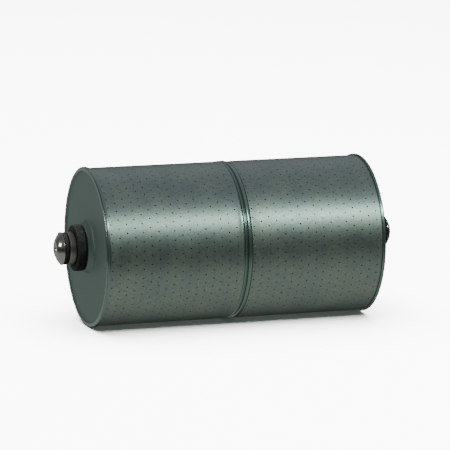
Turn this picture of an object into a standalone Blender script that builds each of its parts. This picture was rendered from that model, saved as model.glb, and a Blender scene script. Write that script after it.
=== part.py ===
"""Canister fuel filter: a perforated can in two halves, with a sprung check valve in each nose.

Frame: the can's axis lies along X, its front end faces -X, +Z is up, and the origin is the
middle of the can on its axis. Sizes are in metres. Each end is modelled once, around its own
+Z axis, which points out of the can and starts at the top of the rolled rim.
"""

from math import cos, pi, sin, tau

import bmesh
import bpy

MM = 0.001

# The can
CAN_LENGTH = 160.5 * MM  # over the two rolled rims
CAN_DIAMETER = 88.9 * MM  # over the rims
SHELL_SHEET = 0.8 * MM
SHELL_FLARE = 0.15 * MM  # the front shell opens out this much at the middle joint
SHELL_FLARE_LENGTH = 2.0 * MM
SHELL_NECK = 0.25 * MM  # the rear shell draws in this much at the middle joint
SHELL_NECK_LENGTH = 4.4 * MM

# The rolled rim and the end cap
RIM_PROUD = 0.75 * MM  # the rim stands this far outside the shell
RIM_WIDTH = 2.0 * MM
RIM_TOP_SHEET = 1.0 * MM  # metal over the end of the shell
CAP_SHEET = 0.8 * MM
PANEL_DEPTH = 0.9 * MM  # the cap's flat panel lies this far below the rim's top
PANEL_FILLET = 0.6 * MM
BOSS_RISE = 2.2 * MM  # the drawn boss stands this far above the rim's top
BOSS_RADIUS = 13.4 * MM
BOSS_FLANK = 1.5 * MM  # how far the boss widens down to the panel
BOSS_ROUND = 0.7 * MM

# The joining band at the middle of the can
BAND_HALF_WIDTH = 2.4 * MM  # each of its two beads
BAND_PROUD = 0.2 * MM
BAND_GROOVE = 0.8 * MM
BAND_SLEEVE_REACH = 11.0 * MM  # the sleeve goes this far under each shell
BAND_SHEET = 0.8 * MM

# The nose: nozzle, grommet and check valve
GROMMET_THICKNESS = 4.8 * MM
GROMMET_RADIUS = 12.8 * MM
GROMMET_ROUND = 0.8 * MM
GROMMET_LAND = 0.3 * MM  # its sealing land stands this far above the recess round the collar
GROMMET_LAND_GAP = 0.6 * MM  # between the land and the collar
COLLAR_RADIUS = 9.2 * MM
COLLAR_LENGTH = 3.7 * MM
COLLAR_CHAMFER = 0.3 * MM
NECK_RADIUS = 7.0 * MM  # the nozzle's threaded neck
BORE_RADIUS = 5.0 * MM
WEB_THICKNESS = 2.0 * MM  # the web in the bore that guides the valve's stem
WEB_DEPTH = 3.0 * MM  # below the nozzle's mouth
WEB_HOLES = 4
WEB_HOLE_RADIUS = 0.9 * MM
SPIGOT_RADIUS = 6.4 * MM  # the plain inner end, which the pack slides on to
SPIGOT_LENGTH = 8.5 * MM
SEAL_THICKNESS = 2.3 * MM
SEAL_INSET = 0.3 * MM  # the seal ring's edge lies inside the valve head's
HEAD_LENGTH = 3.4 * MM
HEAD_LAND = 0.4 * MM  # straight edge behind the head's rounded cone
HEAD_FACE_RADIUS = 4.2 * MM
HEAD_SWELL = 0.35 * MM  # how far the cone's side rounds outward half way up
HEAD_DIMPLE = 2.0 * MM  # centre drilling in the head's face
HUB_RADIUS = 4.4 * MM
STEM_RADIUS = 2.5 * MM
STEM_NUT_ACROSS = 7.4 * MM
STEM_NUT_HEIGHT = 2.5 * MM
STEM_TAIL = 1.0 * MM  # thread left past the nut
SPRING_LENGTH = 12.8 * MM
SPRING_RADIUS = 3.7 * MM
SPRING_WIRE_RADIUS = 0.45 * MM
SPRING_TURNS = 5

# What holds the nozzle, inside the cap
WASHER_RADIUS = 11.6 * MM
WASHER_THICKNESS = 1.2 * MM
LOCK_NUT_ACROSS = 19.0 * MM
LOCK_NUT_HEIGHT = 5.0 * MM

# The paper pack in each half
PACK_CLEARANCE = 1.3 * MM  # between the pack and the band's sleeve
DISC_SHEET = 0.8 * MM
DISC_FLANGE = 6.0 * MM
DISC_COLLAR = 8.0 * MM
OUTER_DISC_GAP = 2.0 * MM  # between the lock nut and the pack's outer disc
TAIL_SEAL_THICKNESS = 1.6 * MM
TAIL_SEAL_LENGTH = 5.0 * MM
PLEATS = 32
PAPER = 0.5 * MM
PLEAT_TIP = 1.2 * MM  # half the width of a fold at its outer end
PLEAT_GAP = 0.25 * MM  # half the space between two legs at the core
CORE_RADIUS = 11.8 * MM
CORE_SHEET = 0.8 * MM
CORE_WINDOW_ROWS = 4
CORE_WINDOW_LENGTH = 8.0 * MM

# The middle of the can
GASKET_THICKNESS = 4.2 * MM
GASKET_RADIUS = 30.0 * MM
COUPLING_RADIUS = 8.6 * MM
COUPLING_SHEET = 0.8 * MM
COUPLING_HALF_LENGTH = 11.0 * MM

TOUCH = 0.3 * MM  # gap left between two pieces that touch
RUNNING = 0.1 * MM  # radial clearance round the sliding stem

CAN_SIDES = 32  # flats round the can and what lies close inside it
NOSE_SIDES = 24
CORE_SIDES = 16
WEB_HOLE_SIDES = 8
SPRING_STEPS = 12  # in one turn
HEAD_STEPS = 4  # up the cone's side
CREST_STEPS = 4  # over the rim's rolled top
BEAD_STEPS = 5  # over one bead of the band

# Sizes that follow from the ones above
HALF_LENGTH = CAN_LENGTH / 2
RIM_RADIUS = CAN_DIAMETER / 2
SHELL_RADIUS = RIM_RADIUS - RIM_PROUD
SHELL_BORE = SHELL_RADIUS - SHELL_SHEET
SLEEVE_FRONT = SHELL_BORE - TOUCH
SLEEVE_REAR = SLEEVE_FRONT - SHELL_NECK
SLEEVE_BORE = SLEEVE_REAR - BAND_SHEET
DISC_RADIUS = SLEEVE_BORE - PACK_CLEARANCE

NECK_HOLE = NECK_RADIUS + TOUCH
GROMMET_BASE = BOSS_RISE + TOUCH
COLLAR_BASE = GROMMET_BASE + GROMMET_THICKNESS - GROMMET_LAND + TOUCH
MOUTH = COLLAR_BASE + COLLAR_LENGTH
SEAL_BASE = MOUTH + TOUCH
HEAD_BASE = SEAL_BASE + SEAL_THICKNESS + TOUCH
WEB_TOP = MOUTH - WEB_DEPTH
WEB_BASE = WEB_TOP - WEB_THICKNESS
STEM_NUT_TOP = WEB_BASE - SPRING_LENGTH
STEM_END = STEM_NUT_TOP - STEM_NUT_HEIGHT - STEM_TAIL
WASHER_TOP = BOSS_RISE - CAP_SHEET - TOUCH
LOCK_NUT_TOP = WASHER_TOP - WASHER_THICKNESS - TOUCH
LOCK_NUT_BASE = LOCK_NUT_TOP - LOCK_NUT_HEIGHT
SPIGOT_BASE = LOCK_NUT_BASE - TOUCH
NOZZLE_END = SPIGOT_BASE - SPIGOT_LENGTH

TAIL_SEAL_BORE = SPIGOT_RADIUS + TOUCH
DISC_HOLE = TAIL_SEAL_BORE + TAIL_SEAL_THICKNESS + TOUCH
OUTER_DISC_TOP = LOCK_NUT_BASE - OUTER_DISC_GAP
INNER_DISC_BASE = -HALF_LENGTH + GASKET_THICKNESS / 2 + TOUCH
COUPLING_HOLE = COUPLING_RADIUS + TOUCH


def material(name, colour, roughness, metallic):
    """A plain surface: colour, roughness and how metallic it is."""
    made = bpy.data.materials.new(name)
    made.use_nodes = True
    shader = made.node_tree.nodes["Principled BSDF"]
    shader.inputs["Base Color"].default_value = (*colour, 1.0)
    shader.inputs["Roughness"].default_value = roughness
    shader.inputs["Metallic"].default_value = metallic
    made.diffuse_color = (*colour, 1.0)
    return made


def corner_radius(radius, sides):
    """The distance to the corners of a polygon whose flats lie at radius."""
    return radius / cos(pi / sides)


def outside(radius, sides):
    """A bore that clears a polygon with its flats at radius."""
    return corner_radius(radius, sides) + TOUCH


def arc(centre, radius, start, end, steps):
    """Points (r, z) on a circle from angle start to end, in radians from +r towards +z."""
    angles = [start + (end - start) * i / steps for i in range(steps + 1)]
    return [(centre[0] + radius * cos(a), centre[1] + radius * sin(a)) for a in angles]


def add_object(name, bm, surface, parent, z=0.0, smooth_below=pi / 5):
    """Turn a bmesh into a named object at height z on its parent's axis."""
    bmesh.ops.recalc_face_normals(bm, faces=bm.faces)
    mesh = bpy.data.meshes.new(name)
    bm.to_mesh(mesh)
    bm.free()
    mesh.shade_smooth()
    mesh.set_sharp_from_angle(angle=smooth_below)
    mesh.materials.append(surface)
    made = bpy.data.objects.new(name, mesh)
    bpy.context.scene.collection.objects.link(made)
    made.parent = parent
    made.location = (0.0, 0.0, z)
    return made


def turned(name, profile, sides, surface, parent, z=0.0):
    """Spin a profile of (r, z) points about +Z. The flats lie at r, and one faces each of +X and +Y.

    A profile that starts and ends on the axis makes a solid; any other is closed into a ring.
    """
    solid = profile[0][0] == 0.0 and profile[-1][0] == 0.0
    half = pi / sides
    bm = bmesh.new()
    verts = []
    for r, height in profile:
        corner = corner_radius(r, sides)
        verts.append(bm.verts.new((corner * cos(half), corner * sin(half), height)))
    edges = [bm.edges.new(pair) for pair in zip(verts, verts[1:])]
    if not solid:
        edges.append(bm.edges.new((verts[-1], verts[0])))
    bmesh.ops.spin(bm, geom=verts + edges, axis=(0, 0, 1), cent=(0, 0, 0), angle=tau, steps=sides)
    bmesh.ops.remove_doubles(bm, verts=bm.verts, dist=1e-7)
    bmesh.ops.dissolve_degenerate(bm, edges=bm.edges, dist=1e-7)
    return add_object(name, bm, surface, parent, z)


def ring(bore, radius, base, top):
    """The profile of a plain ring."""
    return [(bore, base), (radius, base), (radius, top), (bore, top)]


def bridge(bm, loop_a, loop_b, sides):
    """Quads between two closed loops of the same length."""
    for i in range(sides):
        j = (i + 1) % sides
        bm.faces.new((loop_a[i], loop_a[j], loop_b[j], loop_b[i]))


def hex_nut(name, across, bore, height, surface, parent, top):
    """A hexagon of the size across its flats, with a round hole. Its top face is at height top."""
    bm = bmesh.new()
    loops = []
    for level in (0.0, -height):
        outer = []
        inner = []
        for i in range(NOSE_SIDES):
            angle = tau * (i + 0.5) / NOSE_SIDES
            off_flat = (angle - pi / NOSE_SIDES) % (pi / 3) - pi / 6
            reach = across / 2 / cos(off_flat)
            hole = corner_radius(bore, NOSE_SIDES)
            outer.append(bm.verts.new((reach * cos(angle), reach * sin(angle), level)))
            inner.append(bm.verts.new((hole * cos(angle), hole * sin(angle), level)))
        loops.append((outer, inner))
    (outer_top, inner_top), (outer_base, inner_base) = loops
    bridge(bm, outer_top, outer_base, NOSE_SIDES)
    bridge(bm, inner_top, inner_base, NOSE_SIDES)
    bridge(bm, outer_top, inner_top, NOSE_SIDES)
    bridge(bm, outer_base, inner_base, NOSE_SIDES)
    return add_object(name, bm, surface, parent, top)


def shell(name, parent, step, step_length, surface):
    """Half of the can's wall. step is how far it widens, or draws in if negative, at the middle."""
    top = -(RIM_TOP_SHEET + TOUCH)
    base = -(HALF_LENGTH - BAND_HALF_WIDTH - TOUCH)
    profile = [
        (SHELL_RADIUS, top),
        (SHELL_RADIUS, base + step_length),
        (SHELL_RADIUS + step, base),
        (SHELL_BORE + step, base),
        (SHELL_BORE, base + step_length),
        (SHELL_BORE, top),
    ]
    return turned(name, profile, CAN_SIDES, surface, parent)


def end_cap(name, parent, surface):
    """The pressed end: a drawn boss with the nozzle's hole, a flat panel, and the rolled rim."""
    wall_outside = SHELL_BORE - TOUCH
    wall = wall_outside - CAP_SHEET
    crest = (RIM_RADIUS - wall) / 2
    panel_base = -(PANEL_DEPTH + CAP_SHEET)
    skirt_bore = SHELL_RADIUS + TOUCH
    foot = BOSS_RADIUS + BOSS_FLANK
    boss_top = [
        (NECK_HOLE, BOSS_RISE),
        (BOSS_RADIUS - BOSS_ROUND, BOSS_RISE),
        (BOSS_RADIUS - BOSS_ROUND * 0.3, BOSS_RISE - BOSS_ROUND * 0.3),
        (BOSS_RADIUS, BOSS_RISE - BOSS_ROUND),
    ]
    panel = [
        (foot - BOSS_ROUND * 0.5, -PANEL_DEPTH + BOSS_ROUND * 0.4),
        (foot, -PANEL_DEPTH),
        (wall - PANEL_FILLET, -PANEL_DEPTH),
        (wall, -PANEL_DEPTH + PANEL_FILLET / 2),
    ]
    crest_centre = ((wall + RIM_RADIUS) / 2, -crest)
    rolled = arc(crest_centre, crest, pi, 0.0, CREST_STEPS)
    curl = (RIM_RADIUS - skirt_bore) * 0.6
    skirt = [
        (RIM_RADIUS, -RIM_WIDTH + curl),
        (RIM_RADIUS - curl, -RIM_WIDTH),
        (skirt_bore, -RIM_WIDTH),
        (skirt_bore, -RIM_TOP_SHEET),
        (wall_outside, -RIM_TOP_SHEET),
        (wall_outside, panel_base),
    ]
    inside = [
        (foot - CAP_SHEET * 0.6, panel_base),
        (BOSS_RADIUS - CAP_SHEET, BOSS_RISE - CAP_SHEET - BOSS_ROUND),
        (BOSS_RADIUS - CAP_SHEET - BOSS_ROUND, BOSS_RISE - CAP_SHEET),
        (NECK_HOLE, BOSS_RISE - CAP_SHEET),
    ]
    return turned(name, boss_top + panel + rolled + skirt + inside, CAN_SIDES, surface, parent)


def joining_band(parent, surface):
    """The rolled ring between the halves: two beads outside, and a sleeve under both shells."""
    bead = BAND_HALF_WIDTH / 2
    top = SHELL_RADIUS + BAND_PROUD
    valley = top - BAND_GROOVE
    rise = top - valley

    def over_bead(centre, direction):
        """Half a wave over one bead, from its outer foot to the groove."""
        points = []
        for i in range(1, BEAD_STEPS):
            turn = pi * i / BEAD_STEPS
            points.append((valley + rise * sin(turn), centre + direction * bead * cos(turn)))
        return points

    end_front = -BAND_HALF_WIDTH - BAND_SLEEVE_REACH
    end_rear = BAND_HALF_WIDTH + BAND_SLEEVE_REACH
    profile = [
        (SLEEVE_BORE, end_rear),
        (SLEEVE_REAR, end_rear),
        (SLEEVE_REAR, BAND_HALF_WIDTH),
        (valley, BAND_HALF_WIDTH),
    ]
    profile += over_bead(bead, 1) + [(valley, 0.0)] + over_bead(-bead, 1)
    profile += [
        (valley, -BAND_HALF_WIDTH),
        (SLEEVE_FRONT, -BAND_HALF_WIDTH),
        (SLEEVE_FRONT, end_front),
        (SLEEVE_BORE, end_front),
    ]
    return turned("joining_band", profile, CAN_SIDES, surface, parent)


def nozzle(name, parent, surface):
    """The turned nose piece: collar, threaded neck and spigot, with a drilled web in its bore."""
    guide = STEM_RADIUS + RUNNING
    profile = [
        (BORE_RADIUS + COLLAR_CHAMFER, MOUTH),
        (COLLAR_RADIUS - COLLAR_CHAMFER, MOUTH),
        (COLLAR_RADIUS, MOUTH - COLLAR_CHAMFER),
        (COLLAR_RADIUS, COLLAR_BASE),
        (NECK_RADIUS, COLLAR_BASE),
        (NECK_RADIUS, SPIGOT_BASE),
        (SPIGOT_RADIUS, SPIGOT_BASE),
        (SPIGOT_RADIUS, NOZZLE_END),
        (BORE_RADIUS, NOZZLE_END),
        (BORE_RADIUS, WEB_BASE),
        (guide, WEB_BASE),
        (guide, WEB_TOP),
        (BORE_RADIUS, WEB_TOP),
        (BORE_RADIUS, MOUTH - COLLAR_CHAMFER),
    ]
    body = turned(name, profile, NOSE_SIDES, surface, parent)

    drills = bmesh.new()
    pitch_radius = (guide + BORE_RADIUS) / 2
    for i in range(WEB_HOLES):
        angle = tau * (i + 0.5) / WEB_HOLES
        made = bmesh.ops.create_cone(
            drills,
            cap_ends=True,
            segments=WEB_HOLE_SIDES,
            radius1=WEB_HOLE_RADIUS,
            radius2=WEB_HOLE_RADIUS,
            depth=WEB_THICKNESS * 2,
        )
        place = (pitch_radius * cos(angle), pitch_radius * sin(angle), 0.0)
        bmesh.ops.translate(drills, verts=made["verts"], vec=place)
    cutter = add_object(f"{name}_drills", drills, surface, parent, WEB_BASE + WEB_THICKNESS / 2)
    cutter.hide_render = True
    cutter.display_type = "WIRE"
    cut = body.modifiers.new("web holes", "BOOLEAN")
    cut.operation = "DIFFERENCE"
    cut.solver = "EXACT"
    cut.object = cutter
    return body


def grommet(name, parent, surface):
    """The thick rubber disc between the boss and the nozzle's collar, with a flat sealing land."""
    soft = GROMMET_ROUND
    edge = GROMMET_RADIUS - soft
    land = COLLAR_RADIUS + GROMMET_LAND_GAP
    recess = GROMMET_THICKNESS - GROMMET_LAND
    profile = [(NECK_HOLE, 0.0)]
    profile += arc((edge, soft), soft, -pi / 2, 0.0, 2)
    profile += arc((edge, GROMMET_THICKNESS - soft), soft, 0.0, pi / 2, 2)
    profile += [(land, GROMMET_THICKNESS), (land, recess), (NECK_HOLE, recess)]
    return turned(name, profile, NOSE_SIDES, surface, parent, GROMMET_BASE)


def valve(name, parent, surface):
    """The check valve: rounded conical head, hub for the seal ring, and a stem with a thread."""
    land_top = HEAD_BASE + HEAD_LAND
    face = HEAD_BASE + HEAD_LENGTH
    cone = []
    for i in range(HEAD_STEPS + 1):
        share = i / HEAD_STEPS
        swell = HEAD_SWELL * sin(pi * share)
        r = COLLAR_RADIUS + (HEAD_FACE_RADIUS - COLLAR_RADIUS) * share + swell
        cone.append((r, land_top + (face - land_top) * share + swell))
    profile = [
        (0.0, STEM_END),
        (STEM_RADIUS, STEM_END),
        (STEM_RADIUS, MOUTH),
        (HUB_RADIUS, MOUTH + TOUCH / 2),
        (HUB_RADIUS, HEAD_BASE),
        (COLLAR_RADIUS, HEAD_BASE),
    ]
    profile += cone + [(HEAD_DIMPLE, face), (0.0, face - HEAD_DIMPLE)]
    return turned(name, profile, NOSE_SIDES, surface, parent)


def spring(name, parent, surface):
    """The coil round the stem that pulls the valve shut."""
    margin = TOUCH + SPRING_WIRE_RADIUS
    top = WEB_BASE - margin
    base = STEM_NUT_TOP + margin
    count = SPRING_TURNS * SPRING_STEPS
    line = bpy.data.curves.new(name, "CURVE")
    line.dimensions = "3D"
    line.bevel_depth = SPRING_WIRE_RADIUS
    line.bevel_resolution = 1
    line.use_fill_caps = True
    coil = line.splines.new("POLY")
    coil.points.add(count)
    for i in range(count + 1):
        angle = tau * i / SPRING_STEPS
        height = base + (top - base) * i / count
        coil.points[i].co = (SPRING_RADIUS * cos(angle), SPRING_RADIUS * sin(angle), height, 1.0)
    line.materials.append(surface)
    made = bpy.data.objects.new(name, line)
    bpy.context.scene.collection.objects.link(made)
    made.parent = parent
    return made


def pack_disc(name, parent, face, towards, hole, surface):
    """A pressed disc on one end of the paper, with its flange and collar turned over the paper.

    face is the height of its bare side, and towards is -1 or 1, the way to the paper.
    """
    sheet = towards * DISC_SHEET
    profile = [
        (hole, 0.0),
        (DISC_RADIUS, 0.0),
        (DISC_RADIUS, towards * DISC_FLANGE),
        (DISC_RADIUS - DISC_SHEET, towards * DISC_FLANGE),
        (DISC_RADIUS - DISC_SHEET, sheet),
        (hole + DISC_SHEET, sheet),
        (hole + DISC_SHEET, towards * DISC_COLLAR),
        (hole, towards * DISC_COLLAR),
    ]
    return turned(name, profile, CAN_SIDES, surface, parent, face)


def pleated_paper(name, parent, base, top, surface):
    """The pleated ring: each fold is a flat tip outside and two legs down to the core."""
    tip = DISC_RADIUS - DISC_SHEET - TOUCH
    root = outside(CORE_RADIUS, CORE_SIDES)
    half = pi / PLEATS
    bm = bmesh.new()
    loops = []
    for level in (base, top):
        outer = []
        inner = []
        for i in range(PLEATS):
            middle = tau * i / PLEATS
            wide = PLEAT_TIP / tip
            narrow = (PLEAT_TIP - PAPER) / tip
            gap = PLEAT_GAP / root
            leg = (PLEAT_GAP + PAPER) / root
            outer_turns = [(tip, -wide), (tip, wide), (root + PAPER, half - gap), (root + PAPER, half + gap)]
            inner_turns = [(tip - PAPER, -narrow), (tip - PAPER, narrow), (root, half - leg), (root, half + leg)]
            for verts, turns in ((outer, outer_turns), (inner, inner_turns)):
                for r, turn in turns:
                    place = (r * cos(middle + turn), r * sin(middle + turn), level)
                    verts.append(bm.verts.new(place))
        loops.append((outer, inner))
    (outer_base, inner_base), (outer_top, inner_top) = loops
    count = len(outer_base)
    bridge(bm, outer_base, outer_top, count)
    bridge(bm, inner_base, inner_top, count)
    bridge(bm, outer_base, inner_base, count)
    bridge(bm, outer_top, inner_top, count)
    return add_object(name, bm, surface, parent)


def core_tube(name, parent, base, top, surface):
    """The tube that carries the paper, with rows of punched windows in every other flat."""
    gap = (top - base - CORE_WINDOW_ROWS * CORE_WINDOW_LENGTH) / (CORE_WINDOW_ROWS + 1)
    levels = [base]
    for row in range(CORE_WINDOW_ROWS):
        start = base + gap + row * (gap + CORE_WINDOW_LENGTH)
        levels += [start, start + CORE_WINDOW_LENGTH]
    levels.append(top)
    bm = bmesh.new()
    outer = []
    inner = []
    for level in levels:
        for grid, radius in ((outer, CORE_RADIUS), (inner, CORE_RADIUS - CORE_SHEET)):
            corner = corner_radius(radius, CORE_SIDES)
            loop = []
            for i in range(CORE_SIDES):
                angle = tau * (i + 0.5) / CORE_SIDES
                loop.append(bm.verts.new((corner * cos(angle), corner * sin(angle), level)))
            grid.append(loop)
    for band in range(len(levels) - 1):
        for i in range(CORE_SIDES):
            j = (i + 1) % CORE_SIDES
            corners = ((band, i), (band, j), (band + 1, j), (band + 1, i))
            if band % 2 == 1 and i % 2 == 0:
                for (a, b), (c, d) in zip(corners, corners[1:] + corners[:1]):
                    bm.faces.new((outer[a][b], outer[c][d], inner[c][d], inner[a][b]))
            else:
                for grid in (outer, inner):
                    bm.faces.new([grid[a][b] for a, b in corners])
    bridge(bm, outer[0], inner[0], CORE_SIDES)
    bridge(bm, outer[-1], inner[-1], CORE_SIDES)
    return add_object(name, bm, surface, parent)


def end_axis(name, x, turn):
    """An empty at one end of the can, whose +Z points out of it."""
    made = bpy.data.objects.new(name, None)
    bpy.context.scene.collection.objects.link(made)
    made.location = (x, 0.0, 0.0)
    made.rotation_euler = (0.0, turn, 0.0)
    made.empty_display_size = 0.01
    return made


def build_nose(side, axis, finishes):
    """The nozzle of one end with its seals, fasteners and check valve."""
    nozzle(f"{side}_nozzle", axis, finishes["turned_steel"])
    grommet(f"{side}_grommet", axis, finishes["rubber"])
    washer = ring(NECK_HOLE, WASHER_RADIUS, WASHER_TOP - WASHER_THICKNESS, WASHER_TOP)
    turned(f"{side}_washer", washer, NOSE_SIDES, finishes["zinc_plate"], axis)
    hex_nut(
        f"{side}_lock_nut",
        LOCK_NUT_ACROSS,
        NECK_HOLE,
        LOCK_NUT_HEIGHT,
        finishes["zinc_plate"],
        axis,
        LOCK_NUT_TOP,
    )
    valve(f"{side}_valve", axis, finishes["polished_steel"])
    seal = ring(HUB_RADIUS + TOUCH, COLLAR_RADIUS - SEAL_INSET, SEAL_BASE, SEAL_BASE + SEAL_THICKNESS)
    turned(f"{side}_valve_seal", seal, NOSE_SIDES, finishes["rubber"], axis)
    hex_nut(
        f"{side}_valve_nut",
        STEM_NUT_ACROSS,
        STEM_RADIUS + TOUCH,
        STEM_NUT_HEIGHT,
        finishes["zinc_plate"],
        axis,
        STEM_NUT_TOP,
    )
    spring(f"{side}_valve_spring", axis, finishes["spring_steel"])


def build_pack(side, axis, finishes):
    """The paper pack of one half: two discs, the paper, the core tube and the rubber bush."""
    paper_top = OUTER_DISC_TOP - DISC_SHEET - TOUCH
    paper_base = INNER_DISC_BASE + DISC_SHEET + TOUCH
    plate = finishes["zinc_plate"]
    pack_disc(f"{side}_outer_disc", axis, OUTER_DISC_TOP, -1, DISC_HOLE, plate)
    pack_disc(f"{side}_inner_disc", axis, INNER_DISC_BASE, 1, COUPLING_HOLE, plate)
    pleated_paper(f"{side}_pleated_paper", axis, paper_base, paper_top, finishes["paper"])
    core_tube(f"{side}_core_tube", axis, paper_base, paper_top, plate)
    bush_top = OUTER_DISC_TOP - DISC_SHEET
    bush = ring(TAIL_SEAL_BORE, TAIL_SEAL_BORE + TAIL_SEAL_THICKNESS, bush_top - TAIL_SEAL_LENGTH, bush_top)
    turned(f"{side}_tail_seal", bush, NOSE_SIDES, finishes["rubber"], axis)


def build_middle(axis, finishes):
    """What the two halves share: the band outside, and the gasket and coupling between the packs."""
    joining_band(axis, finishes["zinc_plate"])
    half = GASKET_THICKNESS / 2
    gasket = ring(COUPLING_HOLE, GASKET_RADIUS, -half, half)
    turned("middle_gasket", gasket, CAN_SIDES, finishes["felt"], axis)
    tube = ring(
        COUPLING_RADIUS - COUPLING_SHEET,
        COUPLING_RADIUS,
        -COUPLING_HALF_LENGTH,
        COUPLING_HALF_LENGTH,
    )
    turned("pack_coupling", tube, CAN_SIDES, finishes["zinc_plate"], axis)


for old in list(bpy.data.objects):
    bpy.data.objects.remove(old, do_unlink=True)

FINISHES = {
    "zinc_plate": material("zinc_plate", (0.29, 0.33, 0.32), 0.38, 1.0),
    "turned_steel": material("turned_steel", (0.42, 0.43, 0.41), 0.3, 1.0),
    "polished_steel": material("polished_steel", (0.6, 0.6, 0.57), 0.16, 1.0),
    "spring_steel": material("spring_steel", (0.35, 0.34, 0.32), 0.35, 1.0),
    "rubber": material("rubber", (0.012, 0.013, 0.012), 0.62, 0.0),
    "paper": material("paper", (0.72, 0.6, 0.38), 0.9, 0.0),
    "felt": material("felt", (0.5, 0.47, 0.4), 0.95, 0.0),
}

FRONT = end_axis("front_end", -HALF_LENGTH, -pi / 2)
REAR = end_axis("rear_end", HALF_LENGTH, pi / 2)
MIDDLE = end_axis("middle", 0.0, pi / 2)

shell("front_shell", FRONT, SHELL_FLARE, SHELL_FLARE_LENGTH, FINISHES["zinc_plate"])
shell("rear_shell", REAR, -SHELL_NECK, SHELL_NECK_LENGTH, FINISHES["zinc_plate"])
for SIDE, AXIS in (("front", FRONT), ("rear", REAR)):
    end_cap(f"{SIDE}_end_cap", AXIS, FINISHES["zinc_plate"])
    build_nose(SIDE, AXIS, FINISHES)
    build_pack(SIDE, AXIS, FINISHES)
build_middle(MIDDLE, FINISHES)
bpy.context.view_layer.update()
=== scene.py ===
"""Fuel filter canister: how the perforated can, its rolled ends and its sprung noses look.

Frame: the can's axis lies along X, its front end faces -X, and +Z is up. Sizes are in metres.
"""

import bpy
import numpy as np
from mathutils import Matrix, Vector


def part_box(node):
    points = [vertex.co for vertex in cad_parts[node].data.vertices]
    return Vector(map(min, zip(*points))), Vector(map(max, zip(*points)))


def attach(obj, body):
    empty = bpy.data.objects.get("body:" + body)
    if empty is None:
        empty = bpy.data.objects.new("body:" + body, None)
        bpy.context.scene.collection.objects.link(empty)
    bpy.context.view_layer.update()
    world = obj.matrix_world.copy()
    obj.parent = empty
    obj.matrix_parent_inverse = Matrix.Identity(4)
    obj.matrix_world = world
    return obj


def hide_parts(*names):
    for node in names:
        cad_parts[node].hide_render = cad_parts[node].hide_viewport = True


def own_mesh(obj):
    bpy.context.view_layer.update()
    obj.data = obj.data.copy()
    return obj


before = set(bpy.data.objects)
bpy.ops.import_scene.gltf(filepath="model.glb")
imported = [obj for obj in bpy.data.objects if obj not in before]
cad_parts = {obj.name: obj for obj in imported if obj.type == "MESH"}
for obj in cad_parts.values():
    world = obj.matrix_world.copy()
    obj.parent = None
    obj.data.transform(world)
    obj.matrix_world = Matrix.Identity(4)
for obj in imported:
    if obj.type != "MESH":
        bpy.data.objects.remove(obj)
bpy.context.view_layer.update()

# ---------------------------------------------------------------------------------------------
# The two shells. Each is half of the can: 0.8 mm mild steel sheet, punched flat with 0.65 mm holes
# 5 mm apart in a 60 degree stagger, rolled and butt welded along one line, then zinc plated. A
# shell's outer end sits in the rolled rim, and its inner end slips over the joining band.

MM = 0.001
SHELL_RADIUS = 43.7 * MM
SHELL_SHEET = 0.8 * MM
COLUMNS = 17
HOLES_ROUND = 54
HOLE_RADIUS = 0.32 * MM
PUNCH_ROUND = 0.1 * MM  # the punch rolls the hole's edge over this much
FIRST_HOLE = np.radians(5.2)  # above the horizontal on the -Y side
WELD_HOLE = 35  # the row of holes that the weld takes the place of, counted upwards


def linear(code):
    """An sRGB hex made linear: c / 12.92 up to 0.04045, else ((c + 0.055) / 1.055) ** 2.4."""
    c = np.array([int(code[i : i + 2], 16) for i in (1, 3, 5)]) / 255
    return (*np.where(c <= 0.04045, c / 12.92, ((c + 0.055) / 1.055) ** 2.4), 1.0)


def add(tree, kind, settings, links):
    """Adds a node. A setting is an attribute or a socket's value; a link is (node, output)."""
    made = tree.nodes.new(kind)
    for key, value in settings.items():
        if isinstance(key, str) and hasattr(made, key):
            setattr(made, key, value)
        else:
            made.inputs[key].default_value = value
    for key, (source, output) in links.items():
        tree.links.new(source.outputs[output], made.inputs[key])
    return made


def finish_of(name, colour, roughness, metallic):
    """A new material of one colour, with its node tree and its shader."""
    made = bpy.data.materials.new(name)
    made.use_nodes = True
    shader = made.node_tree.nodes["Principled BSDF"]
    shader.inputs["Base Color"].default_value = linear(colour)
    shader.inputs["Roughness"].default_value = roughness
    shader.inputs["Metallic"].default_value = metallic
    return made, made.node_tree, shader


def put(name, points, faces, normals, material):
    """Makes an object at the origin from points, faces and the surface's exact normals.

    The faces are turned round together if their signed volume, the sum of p0 . (p1 x p2) over
    the fans of triangles, comes out negative.
    """
    fans = np.array([(f[0], f[i], f[i + 1]) for f in faces for i in range(1, len(f) - 1)])
    a, b, c = (points[fans[:, i]] for i in range(3))
    if np.einsum("ij,ij->", a, np.cross(b, c)) < 0:
        faces = [f[::-1] for f in faces]
    mesh = bpy.data.meshes.new(name)
    mesh.from_pydata(points.tolist(), [], faces)
    mesh.shade_smooth()
    mesh.normals_split_custom_set_from_vertices(normals.tolist())
    mesh.materials.append(material)
    made = bpy.data.objects.new(name, mesh)
    bpy.context.scene.collection.objects.link(made)
    return made


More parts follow.
